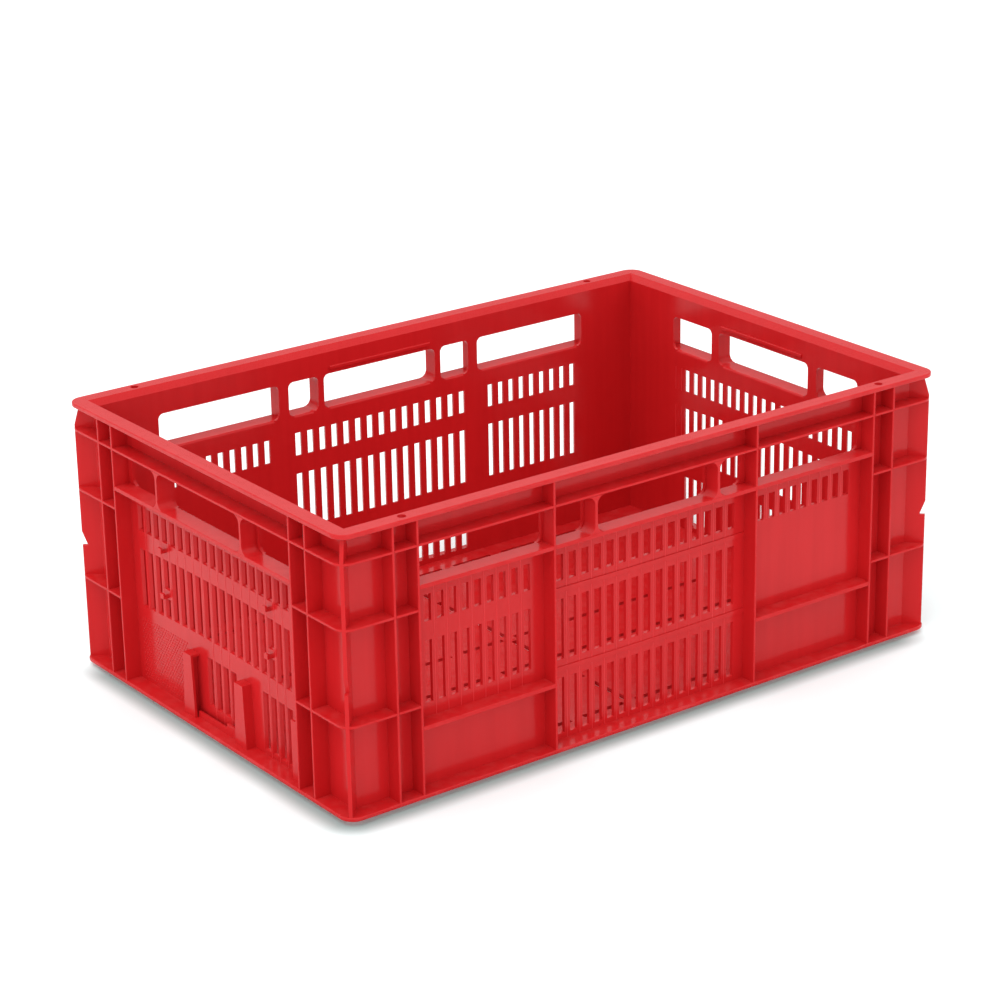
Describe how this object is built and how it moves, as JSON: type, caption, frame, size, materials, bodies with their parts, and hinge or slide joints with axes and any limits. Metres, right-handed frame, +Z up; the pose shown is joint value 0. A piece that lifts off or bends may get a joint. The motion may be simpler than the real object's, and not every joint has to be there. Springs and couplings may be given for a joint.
{
  "type": "plastic crate",
  "caption": "Open stacking crate with slotted walls, outside ribs, hand-holes under a flat rim, a base flange and a label holder on each end.",
  "frame": {"origin": "under the middle of the crate, on the plane that it stands on", "axes": "+X along the long sides, +Y across to the back long side, +Z up"},
  "size_m": [0.6, 0.4, 0.235],
  "materials": {
    "red_polyethylene": "satin-gloss injection-moulded polyethylene, coloured through"
  },
  "bodies": {
    "root": {"back_base_flange": "red_polyethylene", "back_grip_ledge": "red_polyethylene", "back_hand_hole_pillars": "red_polyethylene", "back_left_corner_fin": "red_polyethylene", "back_left_corner_shelves": "red_polyethylene", "back_left_corner_wall": "red_polyethylene", "back_lower_ledges": "red_polyethylene", "back_right_corner_fin": "red_polyethylene", "back_right_corner_shelves": "red_polyethylene", "back_right_corner_wall": "red_polyethylene", "back_rim": "red_polyethylene", "back_top_shelf": "red_polyethylene", "back_upper_band": "red_polyethylene", "back_vertical_ribs": "red_polyethylene", "back_wall_left_panel": "red_polyethylene", "back_wall_middle_panel": "red_polyethylene", "back_wall_right_panel": "red_polyethylene", "floor_grid": "red_polyethylene", "floor_ribs": "red_polyethylene", "front_base_flange": "red_polyethylene", "front_grip_ledge": "red_polyethylene", "front_hand_hole_pillars": "red_polyethylene", "front_left_corner_fin": "red_polyethylene", "front_left_corner_shelves": "red_polyethylene", "front_left_corner_wall": "red_polyethylene", "front_lower_ledges": "red_polyethylene", "front_right_corner_fin": "red_polyethylene", "front_right_corner_shelves": "red_polyethylene", "front_right_corner_wall": "red_polyethylene", "front_rim": "red_polyethylene", "front_top_shelf": "red_polyethylene", "front_upper_band": "red_polyethylene", "front_vertical_ribs": "red_polyethylene", "front_wall_left_panel": "red_polyethylene", "front_wall_middle_panel": "red_polyethylene", "front_wall_right_panel": "red_polyethylene", "left_base_flange": "red_polyethylene", "left_grip_ledge": "red_polyethylene", "left_hand_hole_pillars": "red_polyethylene", "left_label_holder": "red_polyethylene", "left_label_hooks": "red_polyethylene", "left_rim": "red_polyethylene", "left_top_shelf": "red_polyethylene", "left_upper_band": "red_polyethylene", "left_vertical_ribs": "red_polyethylene", "left_wall_panel": "red_polyethylene", "right_base_flange": "red_polyethylene", "right_grip_ledge": "red_polyethylene", "right_hand_hole_pillars": "red_polyethylene", "right_label_holder": "red_polyethylene", "right_label_hooks": "red_polyethylene", "right_rim": "red_polyethylene", "right_top_shelf": "red_polyethylene", "right_upper_band": "red_polyethylene", "right_vertical_ribs": "red_polyethylene", "right_wall_panel": "red_polyethylene", "stacking_foot": "red_polyethylene"}
  },
  "joints": []
}
